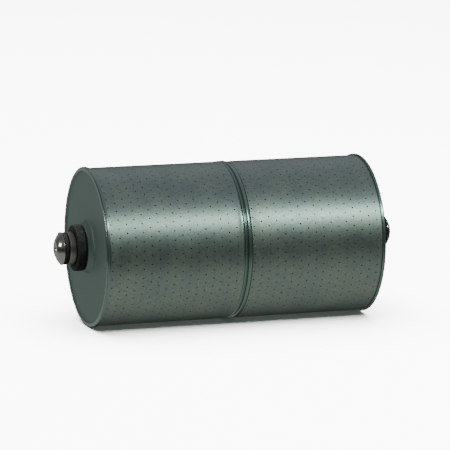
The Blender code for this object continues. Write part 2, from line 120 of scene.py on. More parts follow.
def punched_wall(columns, around, step, depth, hole, edge, trim, start_end, finish_end, plain_row):
    """A closed punched sheet laid flat: u runs along it, v round it, w into its thickness.

    Its cells are step[0] long and step[1] high, and every other column is half a cell higher.
    Twelve points on a cell's border lead to twelve on the hole at the same bearings: bearing =
    atan2(v, u), point = hole * (cos, sin). The first column starts at u = trim. start_end and
    finish_end are (u, w) outlines that close the sheet beyond its cells, from the outer skin
    round to the inner one. Cells of plain_row have no hole. Returns the points as (u, v, w),
    each point's way towards its hole's middle, and the faces.
    """
    rows = around * 4
    lines = columns * 2 + 1
    ring_u = np.array([-1, 0, 1, 1, 1, 1, 1, 0, -1, -1, -1, -1])
    ring_v = np.array([-2, -2, -2, -1, 0, 1, 2, 2, 2, 1, 0, -1])
    column, row = (g.ravel() for g in np.meshgrid(np.arange(columns), np.arange(around)))
    middle_u = column * 2 + 1
    middle_v = row * 4 + (column % 2) * 2
    border = (middle_u[:, None] + ring_u) * rows + (middle_v[:, None] + ring_v) % rows
    solid = row == plain_row

    # the two skins, as grids of half and quarter cells
    u, v = (g.ravel() for g in np.meshgrid(np.arange(lines), np.arange(rows), indexing="ij"))
    outer = np.stack([np.maximum(u * step[0] / 2, trim), v * step[1] / 4, 0.0 * u], axis=1)
    inner = outer + (0, 0, depth)
    points = [outer, inner]
    toward = [np.zeros((len(outer), 2)), np.zeros((len(inner), 2))]
    count = 2 * len(outer)
    faces = []

    # each hole: its rolled edge, its wall, and the border on the inner skin
    bored = np.flatnonzero(~solid)
    bearing = np.arctan2(ring_v * step[1] / 4, ring_u * step[0] / 2)
    spokes = np.stack([np.cos(bearing), np.sin(bearing)], axis=1)
    loops = [border[bored]]
    for reach, sink in ((hole + edge, 0.0), (hole, edge), (hole, depth)):
        at = np.stack([middle_u * step[0] / 2, middle_v * step[1] / 4], axis=1)[bored]
        flat = at[:, None, :] + spokes * reach
        loops.append(count + np.arange(len(bored) * 12).reshape(-1, 12))
        points.append(np.dstack([flat, np.full(flat.shape[:2], sink)]).reshape(-1, 3))
        turn = 0.0 if sink == 0.0 else 1.0
        toward.append(np.tile(-spokes * turn, (len(bored), 1)))
        count += len(bored) * 12
    loops.append(border[bored] + len(outer))
    after = np.roll(np.arange(12), -1)
    for near, far in zip(loops, loops[1:]):
        quads = np.stack([near, near[:, after], far[:, after], far], axis=2)
        faces += quads.reshape(-1, 4).tolist()

    # the cells with no hole, eight quads on each skin
    for du in (-1, 0):
        for dv in (-2, -1, 0, 1):
            across, up = middle_u[solid] + du, middle_v[solid] + dv
            square = ((0, 0), (1, 0), (1, 1), (0, 1))
            quads = np.stack([(across + i) * rows + (up + j) % rows for i, j in square], axis=1)
            faces += quads.tolist() + (quads[:, ::-1] + len(outer)).tolist()

    # the plain ends
    turns = np.arange(rows)
    for line, outline, way in ((0, start_end, 1), (lines - 1, finish_end, -1)):
        rims = [line * rows + turns]
        for at_u, at_w in outline:
            rims.append(count + turns)
            ring = [0 * turns + at_u, turns * step[1] / 4, 0 * turns + at_w]
            points.append(np.stack(ring, axis=1))
            toward.append(np.zeros((rows, 2)))
            count += rows
        rims.append(len(outer) + line * rows + turns)
        for near, far in zip(rims, rims[1:]):
            quads = np.stack([near, np.roll(near, -1), np.roll(far, -1), far], axis=1)
            faces += quads[:, ::way].tolist()

    # points inside the punched cells are on no face
    points, toward, faces = np.vstack(points), np.vstack(toward), np.array(faces)
    kept, at = np.unique(faces, return_inverse=True)
    return points[kept], toward[kept], at.reshape(faces.shape)


def shell(side, start, finish, first, last, widen, widen_length, material):
    """Rolls the punched sheet round the can: x = u, y = -r cos(v / R), z = r sin(v / R).

    r = R + widen * s * s * (3 - 2 s) - w, where s goes from 0 to 1 over widen_length before the
    shell's inner end, so the front shell flares over the band and the rear one necks down.
    """
    pitch = (last - first) / (COLUMNS - 1)
    origin = first - pitch / 2
    lip = SHELL_SHEET / 12
    low, high = start - origin, finish - origin
    low_end = [
        (low + lip * 2, 0),
        (low + lip, 0),
        (low, lip),
        (low, SHELL_SHEET - lip),
        (low + lip, SHELL_SHEET),
    ]
    top = COLUMNS * pitch
    high_end = [
        (top + (high - top) * 0.5, 0),
        (high - lip, 0),
        (high - lip * 0.3, lip * 0.3),
        (high, lip),
        (high, SHELL_SHEET - lip),
        (high - lip, SHELL_SHEET),
        (top + (high - top) * 0.5, SHELL_SHEET),
    ]
    up = 2 * np.pi * SHELL_RADIUS / HOLES_ROUND
    flat, toward, faces = punched_wall(
        COLUMNS,
        HOLES_ROUND,
        (pitch, up),
        SHELL_SHEET,
        HOLE_RADIUS,
        PUNCH_ROUND,
        low + lip * 3,
        low_end,
        high_end,
        WELD_HOLE,
    )
    u, v, w = flat.T
    x = u + origin
    inner_end = finish if abs(finish) < abs(start) else start
    s = np.clip(1 - np.abs(x - inner_end) / widen_length, 0, 1)
    radius = SHELL_RADIUS + widen * s * s * (3 - 2 * s) - w
    slope = widen * 6 * s * (1 - s) / widen_length * np.sign(inner_end - x)
    angle = FIRST_HOLE + v / SHELL_RADIUS
    points = np.stack([x, -radius * np.cos(angle), radius * np.sin(angle)], axis=1)

    # outward on the outer skin, inward on the inner one, and towards the hole's middle in a hole
    out = np.stack([-slope, -np.cos(angle), np.sin(angle)], axis=1)
    along = np.stack([np.ones_like(x), 0 * x, 0 * x], axis=1)
    round_it = np.stack([0 * x, np.sin(angle), np.cos(angle)], axis=1)
    into = toward[:, :1] * along + toward[:, 1:] * round_it
    in_hole = np.abs(toward).sum(axis=1, keepdims=True) > 0
    skin = np.where((w > SHELL_SHEET / 2)[:, None], -out, out)
    end = np.zeros_like(x)
    end[np.isclose(x, finish, atol=1e-6)] = 1
    end[np.isclose(x, start, atol=1e-6)] = -1
    skin = np.where(end[:, None] != 0, along * end[:, None], skin)
    normals = np.where(in_hole, into, skin)
    normals /= np.linalg.norm(normals, axis=1, keepdims=True)
    made = put(f"{side}_punched_shell", points, faces.tolist(), normals, material)
    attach(made, "canister")
    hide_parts(f"{side}_shell")
    return made


# Zinc plate over rolled sheet, clear passivated: a dull grey-green metal. The eye sees a soft
# glare with a broken edge, because rolling leaves the sheet slightly uneven, clouds of a bluer
# and a greener grey some 15 mm wide, and the plating's crystals as a grain about 1 mm wide.
zinc_sheet, tree, shader = finish_of("zinc plated steel sheet", "#8A9A92", 0.4, 1.0)
place = add(tree, "ShaderNodeTexCoord", {}, {})
clouds = add(
    tree,
    "ShaderNodeTexNoise",
    {"Scale": 1 / (15 * MM), "Detail": 2.0},
    {"Vector": (place, "Object")},
)
clouds_share = add(
    tree, "ShaderNodeMapRange", {"From Min": 0.35, "From Max": 0.65}, {"Value": (clouds, "Fac")}
)
tint = add(
    tree,
    "ShaderNodeMix",
    {"data_type": "RGBA", 6: linear("#899691"), 7: linear("#919E93")},
    {"Factor": (clouds_share, "Result")},
)
grain = add(
    tree,
    "ShaderNodeTexNoise",
    {"Scale": 1 / (1.1 * MM), "Detail": 3.0},
    {"Vector": (place, "Object")},
)
speckle = add(
    tree, "ShaderNodeMapRange", {"To Min": 0.58, "To Max": 1.42}, {"Value": (grain, "Fac")}
)
grained = add(
    tree,
    "ShaderNodeMix",
    {"data_type": "RGBA", "blend_type": "MULTIPLY", "Factor": 1.0},
    {6: (tint, 2), 7: (speckle, "Result")},
)
tree.links.new(grained.outputs[2], shader.inputs["Base Color"])
dulling = add(
    tree, "ShaderNodeMapRange", {"To Min": 0.34, "To Max": 0.42}, {"Value": (clouds, "Fac")}
)
tree.links.new(dulling.outputs["Result"], shader.inputs["Roughness"])
waves = add(
    tree,
    "ShaderNodeTexNoise",
    {"Scale": 1 / (22 * MM), "Detail": 1.0},
    {"Vector": (place, "Object")},
)
rolled = add(
    tree, "ShaderNodeBump", {"Strength": 0.25, "Distance": 0.3 * MM}, {"Height": (waves, "Fac")}
)
fine = add(
    tree,
    "ShaderNodeBump",
    {"Strength": 0.25, "Distance": 0.03 * MM},
    {"Height": (grain, "Fac"), "Normal": (rolled, "Normal")},
)
tree.links.new(fine.outputs["Normal"], shader.inputs["Normal"])

FRONT_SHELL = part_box("front_shell")
REAR_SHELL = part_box("rear_shell")
FRONT_HOLES = (-77.2 * MM, -6.0 * MM)  # the first and the last row of holes
REAR_HOLES = (3.8 * MM, 75.4 * MM)
FRONT_FLARE = (0.15 * MM, 2.0 * MM)  # how far its inner end opens out, and over what length
REAR_FLARE = (-0.25 * MM, 4.4 * MM)  # this one draws in
shell("front", FRONT_SHELL[0][0], FRONT_SHELL[1][0], *FRONT_HOLES, *FRONT_FLARE, zinc_sheet)
shell("rear", REAR_SHELL[0][0], REAR_SHELL[1][0], *REAR_HOLES, *REAR_FLARE, zinc_sheet)

# ---------------------------------------------------------------------------------------------
# The joining band: a strip of the same zinc plated steel rolled into a ring. Two beads with a
# groove between them stand between the shells, and its sleeve runs 11 mm under each shell, where
# it is swaged tight.

ROUND_STEPS = 7  # along each rounded corner
CAN_SEGMENTS = 192  # round the band and the caps


def rounded(corners, closed=True):
    """Rounds an outline of (r, h, radius) corners and gives its points and outward normals.

    At each corner the direction turns steadily: a(s) = a1 + (a2 - a1) s, and the arc's points
    are start + rho * (sin a(s) - sin a1, cos a1 - cos a(s)), where rho is the corner's radius,
    shortened where its sides are too short for it, and signed by the way it turns. An open
    outline keeps its two end points, which lie on the axis.
    """
    corners = np.array(corners, dtype=float)
    here, radius = corners[:, :2], corners[:, 2]
    back = np.roll(here, 1, axis=0) - here
    ahead = np.roll(here, -1, axis=0) - here
    shorter = np.minimum(np.linalg.norm(back, axis=1), np.linalg.norm(ahead, axis=1))
    first = np.arctan2(-back[:, 1], -back[:, 0])
    sweep = (np.arctan2(ahead[:, 1], ahead[:, 0]) - first + np.pi) % (2 * np.pi) - np.pi
    half = np.tan(np.abs(sweep) / 2)
    reach = np.minimum(radius * half, shorter * 0.49)
    rho = reach / half * np.sign(sweep)
    start = here + back / np.linalg.norm(back, axis=1)[:, None] * reach[:, None]
    a = first[:, None] + sweep[:, None] * np.linspace(0, 1, ROUND_STEPS)
    ahead_by, aside_by = np.sin(a) - np.sin(first)[:, None], np.cos(first)[:, None] - np.cos(a)
    turned_by = np.stack([ahead_by, aside_by], axis=2)
    arcs = start[:, None, :] + rho[:, None, None] * turned_by
    normals = np.stack([np.sin(a), -np.cos(a)], axis=2)
    if closed:
        points, normals = arcs.reshape(-1, 2), normals.reshape(-1, 2)
        ring = points
    else:
        points = np.vstack([here[:1], arcs[1:-1].reshape(-1, 2), here[-1:]])
        normals = np.vstack([normals[1, :1], normals[1:-1].reshape(-1, 2), normals[-2, -1:]])
        ring = points
    after = np.roll(ring, -1, axis=0)
    area = np.sum(ring[:, 0] * after[:, 1] - ring[:, 1] * after[:, 0])
    return points, normals * np.sign(area)


def turned(name, outline, origin, way, segments, material, closed=True):
    """Carries an outline (r, h) round the can's axis.

    x = origin + way * h, y = -r cos a, z = r sin a, with a stepping evenly through a full turn.
    A point on the axis is one vertex, and triangles meet there.
    """
    (r, h), (out_r, out_h) = (part.T for part in outline)
    a = 2 * np.pi * np.arange(segments) / segments
    points = np.stack(
        [
            np.repeat(origin + way * h, segments),
            np.outer(r, -np.cos(a)).ravel(),
            np.outer(r, np.sin(a)).ravel(),
        ],
        axis=1,
    )
    normals = np.stack(
        [
            np.repeat(way * out_h, segments),
            np.outer(out_r, -np.cos(a)).ravel(),
            np.outer(out_r, np.sin(a)).ravel(),
        ],
        axis=1,
    )
    index = np.arange(len(r) * segments).reshape(len(r), segments)
    if not closed:
        index[0], index[-1] = index[0, 0], index[-1, 0]
        normals[index[0, 0]] = (way * np.sign(out_h[0]), 0, 0)
        normals[index[-1, 0]] = (way * np.sign(out_h[-1]), 0, 0)
    else:
        index = np.vstack([index, index[:1]])
    near, far = index[:-1], index[1:]
    quads = np.stack([near, np.roll(near, -1, 1), np.roll(far, -1, 1), far], axis=2).reshape(-1, 4)
    faces = [list(dict.fromkeys(q)) for q in quads.tolist()]
    used = np.unique(index)
    renumber = np.zeros(len(points), dtype=int)
    renumber[used] = np.arange(len(used))
    faces = [[int(renumber[i]) for i in f] for f in faces]
    return put(name, points[used], faces, normals[used], material)


# The same zinc plate as the shells, worked in a die, which leaves it dull with faint rings round
# the axis some 1.5 mm apart, and at the rim and the beads by a rolling head, which polishes it:
# there the glare is a tight bright line.
zinc_pressed, tree, shader = finish_of("zinc plated steel, pressed", "#7E958D", 0.34, 1.0)
place = add(tree, "ShaderNodeTexCoord", {}, {})
clouds = add(
    tree,
    "ShaderNodeTexNoise",
    {"Scale": 1 / (12 * MM), "Detail": 3.0},
    {"Vector": (place, "Object")},
)
tint = add(
    tree,
    "ShaderNodeMix",
    {"data_type": "RGBA", 6: linear("#799089"), 7: linear("#889A91")},
    {"Factor": (clouds, "Fac")},
)
tree.links.new(tint.outputs[2], shader.inputs["Base Color"])
split = add(tree, "ShaderNodeSeparateXYZ", {}, {"Vector": (place, "Object")})
from_axis = add(tree, "ShaderNodeCombineXYZ", {}, {"Y": (split, "Y"), "Z": (split, "Z")})
distance = add(tree, "ShaderNodeVectorMath", {"operation": "LENGTH"}, {0: (from_axis, "Vector")})
dull = add(tree, "ShaderNodeMapRange", {"To Min": 0.54, "To Max": 0.66}, {"Value": (clouds, "Fac")})
bright = add(
    tree,
    "ShaderNodeMapRange",
    {"From Min": 41.5 * MM, "From Max": 42.5 * MM, "To Min": 0.0, "To Max": -0.38},
    {"Value": (distance, "Value")},
)
burnished = add(
    tree, "ShaderNodeMath", {"operation": "ADD"}, {0: (dull, "Result"), 1: (bright, "Result")}
)
tree.links.new(burnished.outputs["Value"], shader.inputs["Roughness"])
rings = add(
    tree,
    "ShaderNodeTexNoise",
    {"noise_dimensions": "1D", "Scale": 1 / (1.5 * MM), "Detail": 3.0},
    {"W": (distance, "Value")},
)
inside = add(
    tree,
    "ShaderNodeMapRange",
    {"From Min": 39.5 * MM, "From Max": 41.5 * MM, "To Min": 1.0, "To Max": 0.0},
    {"Value": (distance, "Value")},
)
pressed = add(
    tree, "ShaderNodeMath", {"operation": "MULTIPLY"}, {0: (rings, "Fac"), 1: (inside, "Result")}
)
ringed = add(
    tree, "ShaderNodeBump", {"Strength": 0.3, "Distance": 0.05 * MM}, {"Height": (pressed, "Value")}
)
dents = add(
    tree,
    "ShaderNodeTexNoise",
    {"Scale": 1 / (20 * MM), "Detail": 1.0},
    {"Vector": (place, "Object")},
)
dented = add(
    tree,
    "ShaderNodeBump",
    {"Strength": 0.2, "Distance": 0.3 * MM},
    {"Height": (dents, "Fac"), "Normal": (ringed, "Normal")},
)
tree.links.new(dented.outputs["Normal"], shader.inputs["Normal"])

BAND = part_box("joining_band")
CREST = BAND[1][2]
VALLEY = CREST - 0.8 * MM  # the groove between the beads
EDGE_FLOOR = CREST - 0.4 * MM  # the step beside the front shell's edge
BAND_START = -2.66 * MM  # 0.04 mm clear of that edge
HALF_BAND = 2.4 * MM
SLEEVE_FRONT = 42.6 * MM
SLEEVE_REAR = 42.35 * MM
SLEEVE_BORE = 41.55 * MM
bead_peak = CREST + 0.15 * MM
band_outline = rounded(
    [
        (SLEEVE_BORE, BAND[1][0], 0.2 * MM),
        (SLEEVE_REAR, BAND[1][0], 0.3 * MM),
        (SLEEVE_REAR, HALF_BAND, 0.1 * MM),
        (VALLEY, HALF_BAND, 0.1 * MM),
        (bead_peak - 0.25 * MM, 2.3 * MM, 0.3 * MM),
        (bead_peak, 1.3 * MM, 0.9 * MM),
        (bead_peak, 0.5 * MM, 0.5 * MM),
        (VALLEY, -0.1 * MM, 0.2 * MM),
        (VALLEY, -0.4 * MM, 0.2 * MM),
        (bead_peak, -0.9 * MM, 0.5 * MM),
        (bead_peak, -1.55 * MM, 0.5 * MM),
        (EDGE_FLOOR, -1.95 * MM, 0.2 * MM),
        (EDGE_FLOOR, BAND_START, 0.05 * MM),
        (SLEEVE_FRONT, BAND_START, 0.05 * MM),
        (SLEEVE_FRONT, BAND[0][0], 0.3 * MM),
        (SLEEVE_BORE, BAND[0][0], 0.2 * MM),
    ]
)
band = turned("beaded_joining_band", band_outline, 0.0, 1, CAN_SEGMENTS, zinc_pressed)
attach(band, "canister")
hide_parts("joining_band")

# ---------------------------------------------------------------------------------------------
# The two end caps: discs of 0.8 mm zinc plated steel, pressed with a raised boss for the nozzle
# and a flat panel. The edge is rolled over the end of the shell in one fold, and holds the cap.

RIM_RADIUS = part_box("front_end_cap")[1][2]
BOSS_RISE = 2.2 * MM
RIM_PLANE = -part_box("front_end_cap")[0][0] - BOSS_RISE
NECK_HOLE = 7.3 * MM
CAP_SHEET = 0.8 * MM
PANEL = -0.9 * MM
CAP_WALL = 41.8 * MM
BOSS_RADIUS = 13.4 * MM
BOSS_FOOT = 14.9 * MM
BOSS_BORE = 12.7 * MM  # inside, under the cap
FOLD_RADIUS = 44.0 * MM  # inside the rolled edge
FOLD_END = -2.0 * MM
cap_outline = rounded(
    [
        (NECK_HOLE, BOSS_RISE, 0.15 * MM),
        (BOSS_RADIUS, BOSS_RISE, 0.9 * MM),
        (BOSS_FOOT, PANEL, 1.1 * MM),
        (CAP_WALL, PANEL, 0.5 * MM),
        (CAP_WALL, 0, 0.9 * MM),
        (RIM_RADIUS, 0, 1.2 * MM),
        (RIM_RADIUS, FOLD_END, 0.35 * MM),
        (FOLD_RADIUS, FOLD_END, 0.08 * MM),
        (FOLD_RADIUS, -1.0 * MM, 0.08 * MM),
        (CAP_WALL + CAP_SHEET, -1.0 * MM, 0.08 * MM),
        (CAP_WALL + CAP_SHEET, PANEL - CAP_SHEET, 0.3 * MM),
        (BOSS_FOOT - 0.5 * MM, PANEL - CAP_SHEET, 0.8 * MM),
        (BOSS_BORE, BOSS_RISE - CAP_SHEET, 0.5 * MM),
        (NECK_HOLE, BOSS_RISE - CAP_SHEET, 0.15 * MM),
    ]
)
for side, way in (("front", -1), ("rear", 1)):
    cap = turned(
        f"{side}_rolled_cap", cap_outline, way * RIM_PLANE, way, CAN_SEGMENTS, zinc_pressed
    )
    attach(cap, "canister")
    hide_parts(f"{side}_end_cap")

# ---------------------------------------------------------------------------------------------
# The grommets: thick discs of black nitrile rubber, compression moulded, with a thin line of
# flash round the middle where the mould parted. The nozzle's collar squeezes each on to its
# boss, and the raised land on its face seals against the housing.

# Nitrile rubber straight from the mould: near black and matt. The eye sees a slight sheen, a
# skin of fine pores about 0.4 mm apart, and a dusty grey bloom in patches.
nitrile, tree, shader = finish_of("moulded nitrile rubber", "#101210", 0.6, 0.0)
shader.inputs["Specular IOR Level"].default_value = 0.25
place = add(tree, "ShaderNodeTexCoord", {}, {})
bloom = add(
    tree,
    "ShaderNodeTexNoise",
    {"Scale": 1 / (4 * MM), "Detail": 4.0},
    {"Vector": (place, "Object")},
)
bloom_share = add(
    tree, "ShaderNodeMapRange", {"From Min": 0.45, "From Max": 0.8}, {"Value": (bloom, "Fac")}
)
dusty = add(
    tree,
    "ShaderNodeMix",
    {"data_type": "RGBA", 6: linear("#0C0E0C"), 7: linear("#171A18")},
    {"Factor": (bloom_share, "Result")},
)
tree.links.new(dusty.outputs[2], shader.inputs["Base Color"])
dulling = add(
    tree, "ShaderNodeMapRange", {"To Min": 0.5, "To Max": 0.72}, {"Value": (bloom, "Fac")}
)
tree.links.new(dulling.outputs["Result"], shader.inputs["Roughness"])
pores = add(
    tree,
    "ShaderNodeTexNoise",
    {"Scale": 1 / (0.4 * MM), "Detail": 2.0},
    {"Vector": (place, "Object")},
)
skin = add(
    tree, "ShaderNodeBump", {"Strength": 0.4, "Distance": 0.04 * MM}, {"Height": (pores, "Fac")}
)
tree.links.new(skin.outputs["Normal"], shader.inputs["Normal"])

NOSE_SEGMENTS = 96  # round the small turned and moulded pieces
GROMMET_BASE = 2.5 * MM
GROMMET_TOP = 7.3 * MM
GROMMET_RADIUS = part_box("front_grommet")[1][2]
GROMMET_MIDDLE = (GROMMET_BASE + GROMMET_TOP) / 2
grommet_outline = rounded(
    [
        (NECK_HOLE, GROMMET_BASE, 0.1 * MM),
        (GROMMET_RADIUS, GROMMET_BASE, 0.8 * MM),
        (GROMMET_RADIUS, GROMMET_MIDDLE - 0.15 * MM, 0.05 * MM),
        (GROMMET_RADIUS + 0.12 * MM, GROMMET_MIDDLE, 0.06 * MM),
        (GROMMET_RADIUS, GROMMET_MIDDLE + 0.15 * MM, 0.05 * MM),
        (GROMMET_RADIUS, GROMMET_TOP, 0.8 * MM),
        (9.8 * MM, GROMMET_TOP, 0.12 * MM),
        (9.75 * MM, GROMMET_TOP - 0.3 * MM, 0.08 * MM),
        (NECK_HOLE, GROMMET_TOP - 0.3 * MM, 0.1 * MM),
    ]
)
for side, way in (("front", -1), ("rear", 1)):
    grommet = turned(
        f"{side}_moulded_grommet", grommet_outline, way * RIM_PLANE, way, NOSE_SEGMENTS, nitrile
    )
    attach(grommet, "canister")
    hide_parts(f"{side}_grommet")

# ---------------------------------------------------------------------------------------------
# The nozzles: each turned from free-cutting steel bar. Outside shows only the chamfered collar;
# a neck goes down through the cap to a plain spigot in the paper pack, and a web with four
# drilled holes across the bore guides the valve's stem.

# Turned steel with a thin clear plating: the tool leaves rings about 0.25 mm apart, which spread
# the glare across the turning, and a straw tint.
turned_steel, tree, shader = finish_of("turned steel", "#9A9A92", 0.3, 1.0)
place = add(tree, "ShaderNodeTexCoord", {}, {})
split = add(tree, "ShaderNodeSeparateXYZ", {}, {"Vector": (place, "Object")})
from_axis = add(tree, "ShaderNodeCombineXYZ", {}, {"Y": (split, "Y"), "Z": (split, "Z")})
distance = add(tree, "ShaderNodeVectorMath", {"operation": "LENGTH"}, {0: (from_axis, "Vector")})
along = add(tree, "ShaderNodeMath", {"operation": "ADD"}, {0: (distance, "Value"), 1: (split, "X")})
feed = add(
    tree,
    "ShaderNodeTexNoise",
    {"noise_dimensions": "1D", "Scale": 1 / (0.25 * MM), "Detail": 2.0},
    {"W": (along, "Value")},
)
tooled = add(
    tree, "ShaderNodeBump", {"Strength": 0.5, "Distance": 0.03 * MM}, {"Height": (feed, "Fac")}
)
tree.links.new(tooled.outputs["Normal"], shader.inputs["Normal"])
stain = add(
    tree,
    "ShaderNodeTexNoise",
    {"Scale": 1 / (5 * MM), "Detail": 3.0},
    {"Vector": (place, "Object")},
)
tint = add(
    tree,
    "ShaderNodeMix",
    {"data_type": "RGBA", 6: linear("#8E8E86"), 7: linear("#A5A49B")},
    {"Factor": (stain, "Fac")},
)
tree.links.new(tint.outputs[2], shader.inputs["Base Color"])
dulling = add(
    tree, "ShaderNodeMapRange", {"To Min": 0.22, "To Max": 0.4}, {"Value": (stain, "Fac")}
)
tree.links.new(dulling.outputs["Result"], shader.inputs["Roughness"])

COLLAR_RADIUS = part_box("front_nozzle")[1][2]
COLLAR_BASE = 7.3 * MM
MOUTH = 11.0 * MM
NECK = 7.0 * MM
SPIGOT = 6.4 * MM
SPIGOT_BASE = -5.7 * MM
NOZZLE_END = -14.2 * MM
BORE = 5.0 * MM
nozzle_outline = rounded(
    [
        (BORE, MOUTH, 0.3 * MM),
        (COLLAR_RADIUS, MOUTH, 0.35 * MM),
        (COLLAR_RADIUS, COLLAR_BASE, 0.2 * MM),
        (NECK, COLLAR_BASE, 0.15 * MM),
        (NECK, SPIGOT_BASE, 0.25 * MM),
        (SPIGOT, SPIGOT_BASE, 0.15 * MM),
        (SPIGOT, NOZZLE_END, 0.4 * MM),
        (BORE, NOZZLE_END, 0.3 * MM),
    ]
)
WEB_TOP = 8.0 * MM
WEB_SHEET = 2.0 * MM
WEB_GUIDE = 2.6 * MM
WEB_HOLE = 0.9 * MM
for side, way in (("front", -1), ("rear", 1)):
    nozzle = turned(
        f"{side}_turned_nozzle", nozzle_outline, way * RIM_PLANE, way, NOSE_SEGMENTS, turned_steel
    )
    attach(nozzle, "canister")
    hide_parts(f"{side}_nozzle")

    # the web: one column of the punched sheet, bent flat round the stem, r = guide + u
    reach = BORE - WEB_GUIDE
    middle = WEB_GUIDE + reach / 2
    flat, toward, faces = punched_wall(
        1,
        4,
        (reach, np.pi / 2 * middle),
        WEB_SHEET,
        WEB_HOLE,
        0.1 * MM,
        0.0,
        [(0.0, WEB_SHEET / 2)],
        [(reach, WEB_SHEET / 2)],
        -1,
    )
    u, v, w = flat.T
    r, a = WEB_GUIDE + u, v / middle
    points = np.stack([way * (RIM_PLANE + WEB_TOP - w), -r * np.cos(a), r * np.sin(a)], axis=1)
    face_way = np.where(w > WEB_SHEET / 2, -way, way)
    radial = np.stack([0 * a, -np.cos(a), np.sin(a)], axis=1)
    crosswise = np.stack([0 * a, np.sin(a), np.cos(a)], axis=1)
    normals = toward[:, :1] * radial + toward[:, 1:] * crosswise
    normals[:, 0] += np.where(np.abs(toward).sum(axis=1) > 0, 0, face_way)
    wall = np.isclose(w, WEB_SHEET / 2)[:, None]
    normals = np.where(wall, radial * np.sign(u - reach / 2)[:, None], normals)
    web = put(f"{side}_drilled_web", points, faces.tolist(), normals, turned_steel)
    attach(web, "canister")

# ---------------------------------------------------------------------------------------------
# The check valves: a rounded conical head, a hub and a stem, turned in one from steel bar, with
# the head polished and its centre drilling left in. A black seal ring sits on the hub behind the
# head and closes on the nozzle's mouth; a nut on the stem's thread holds the spring.

# Polished steel: a clear reflection of what stands round it, slightly streaked round the axis
# by the polishing wheel, with a few duller marks from handling.
polished, tree, shader = finish_of("polished steel", "#A9AAA4", 0.14, 1.0)
place = add(tree, "ShaderNodeTexCoord", {}, {})
marks = add(
    tree,
    "ShaderNodeTexNoise",
    {"Scale": 1 / (2 * MM), "Detail": 4.0},
    {"Vector": (place, "Object")},
)
dulling = add(
    tree,
    "ShaderNodeMapRange",
    {"From Min": 0.4, "From Max": 0.75, "To Min": 0.1, "To Max": 0.24},
    {"Value": (marks, "Fac")},
)
tree.links.new(dulling.outputs["Result"], shader.inputs["Roughness"])
split = add(tree, "ShaderNodeSeparateXYZ", {}, {"Vector": (place, "Object")})
streaks = add(
    tree,
    "ShaderNodeTexNoise",
    {"noise_dimensions": "1D", "Scale": 1 / (0.3 * MM), "Detail": 2.0},
    {"W": (split, "X")},
)
wheel = add(
    tree, "ShaderNodeBump", {"Strength": 0.25, "Distance": 0.01 * MM}, {"Height": (streaks, "Fac")}
)
tree.links.new(wheel.outputs["Normal"], shader.inputs["Normal"])

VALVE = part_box("front_valve")
HEAD_TOP = -VALVE[0][0] - RIM_PLANE
HEAD_BASE = 13.9 * MM
STEM_END = -(VALVE[1][0] + RIM_PLANE)
STEM = 2.5 * MM
HUB = 4.4 * MM
FACE = 4.2 * MM
cone_share = np.linspace(0, 1, 7)
swell = 0.2 * MM * np.sin(np.pi * cone_share)
cone_r = COLLAR_RADIUS + (FACE - COLLAR_RADIUS) * cone_share + swell
cone_h = HEAD_BASE + 0.4 * MM + (HEAD_TOP - HEAD_BASE - 0.4 * MM) * cone_share + swell
cone = [(r, h, 2.5 * MM) for r, h in zip(cone_r[1:-1], cone_h[1:-1])]
valve_outline = rounded(
    [
        (0, STEM_END, 0),
        (STEM, STEM_END, 0.35 * MM),
        (STEM, MOUTH, 0.1 * MM),
        (HUB, MOUTH + 0.15 * MM, 0.15 * MM),
        (HUB, HEAD_BASE, 0.1 * MM),
        (COLLAR_RADIUS, HEAD_BASE, 0.12 * MM),
        (COLLAR_RADIUS, cone_h[0], 0.12 * MM),
        *cone,
        (FACE, HEAD_TOP, 0.45 * MM),
        (2.0 * MM, HEAD_TOP, 0.15 * MM),
        (0, HEAD_TOP - 2.0 * MM, 0),
    ],
    closed=False,
)
SEAL_BASE = 11.3 * MM
SEAL_TOP = 13.6 * MM
SEAL_RADIUS = 8.9 * MM
seal_outline = rounded(
    [
        (4.7 * MM, SEAL_BASE, 0.2 * MM),
        (SEAL_RADIUS, SEAL_BASE, 0.5 * MM),
        (SEAL_RADIUS, SEAL_TOP, 0.5 * MM),
        (4.7 * MM, SEAL_TOP, 0.2 * MM),
    ]
)
for side, way in (("front", -1), ("rear", 1)):
    valve = turned(
        f"{side}_polished_valve",
        valve_outline,
        way * RIM_PLANE,
        way,
        NOSE_SEGMENTS,
        polished,
        closed=False,
    )
    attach(valve, f"{side}_check_valve")
    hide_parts(f"{side}_valve")
    seal = turned(f"{side}_seal_ring", seal_outline, way * RIM_PLANE, way, NOSE_SEGMENTS, nitrile)
    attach(seal, f"{side}_check_valve")
    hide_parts(f"{side}_valve_seal")

# ---------------------------------------------------------------------------------------------
# The valve springs: 0.9 mm music wire, coiled with the last turn at each end closed up. Each
# pushes from the web to the stem's nut, and on the filter shortens as its valve opens; here it
# is built at one length and rides with the can.

# Drawn and coiled wire: dark grey with fine draw lines, and a brown heat tint in patches.
wire, tree, shader = finish_of("drawn spring wire", "#77736C", 0.35, 1.0)
place = add(tree, "ShaderNodeTexCoord", {}, {})
heat = add(
    tree,
    "ShaderNodeTexNoise",
    {"Scale": 1 / (3 * MM), "Detail": 3.0},
    {"Vector": (place, "Object")},
)
tint = add(
    tree,
    "ShaderNodeMix",
    {"data_type": "RGBA", 6: linear("#6E6D6A"), 7: linear("#7D7060")},
    {"Factor": (heat, "Fac")},
)
tree.links.new(tint.outputs[2], shader.inputs["Base Color"])
drawn = add(
    tree,
    "ShaderNodeTexNoise",
    {"Scale": 1 / (0.2 * MM), "Detail": 2.0},
    {"Vector": (place, "Object")},
)
lines = add(
    tree, "ShaderNodeBump", {"Strength": 0.3, "Distance": 0.01 * MM}, {"Height": (drawn, "Fac")}
)
tree.links.new(lines.outputs["Normal"], shader.inputs["Normal"])

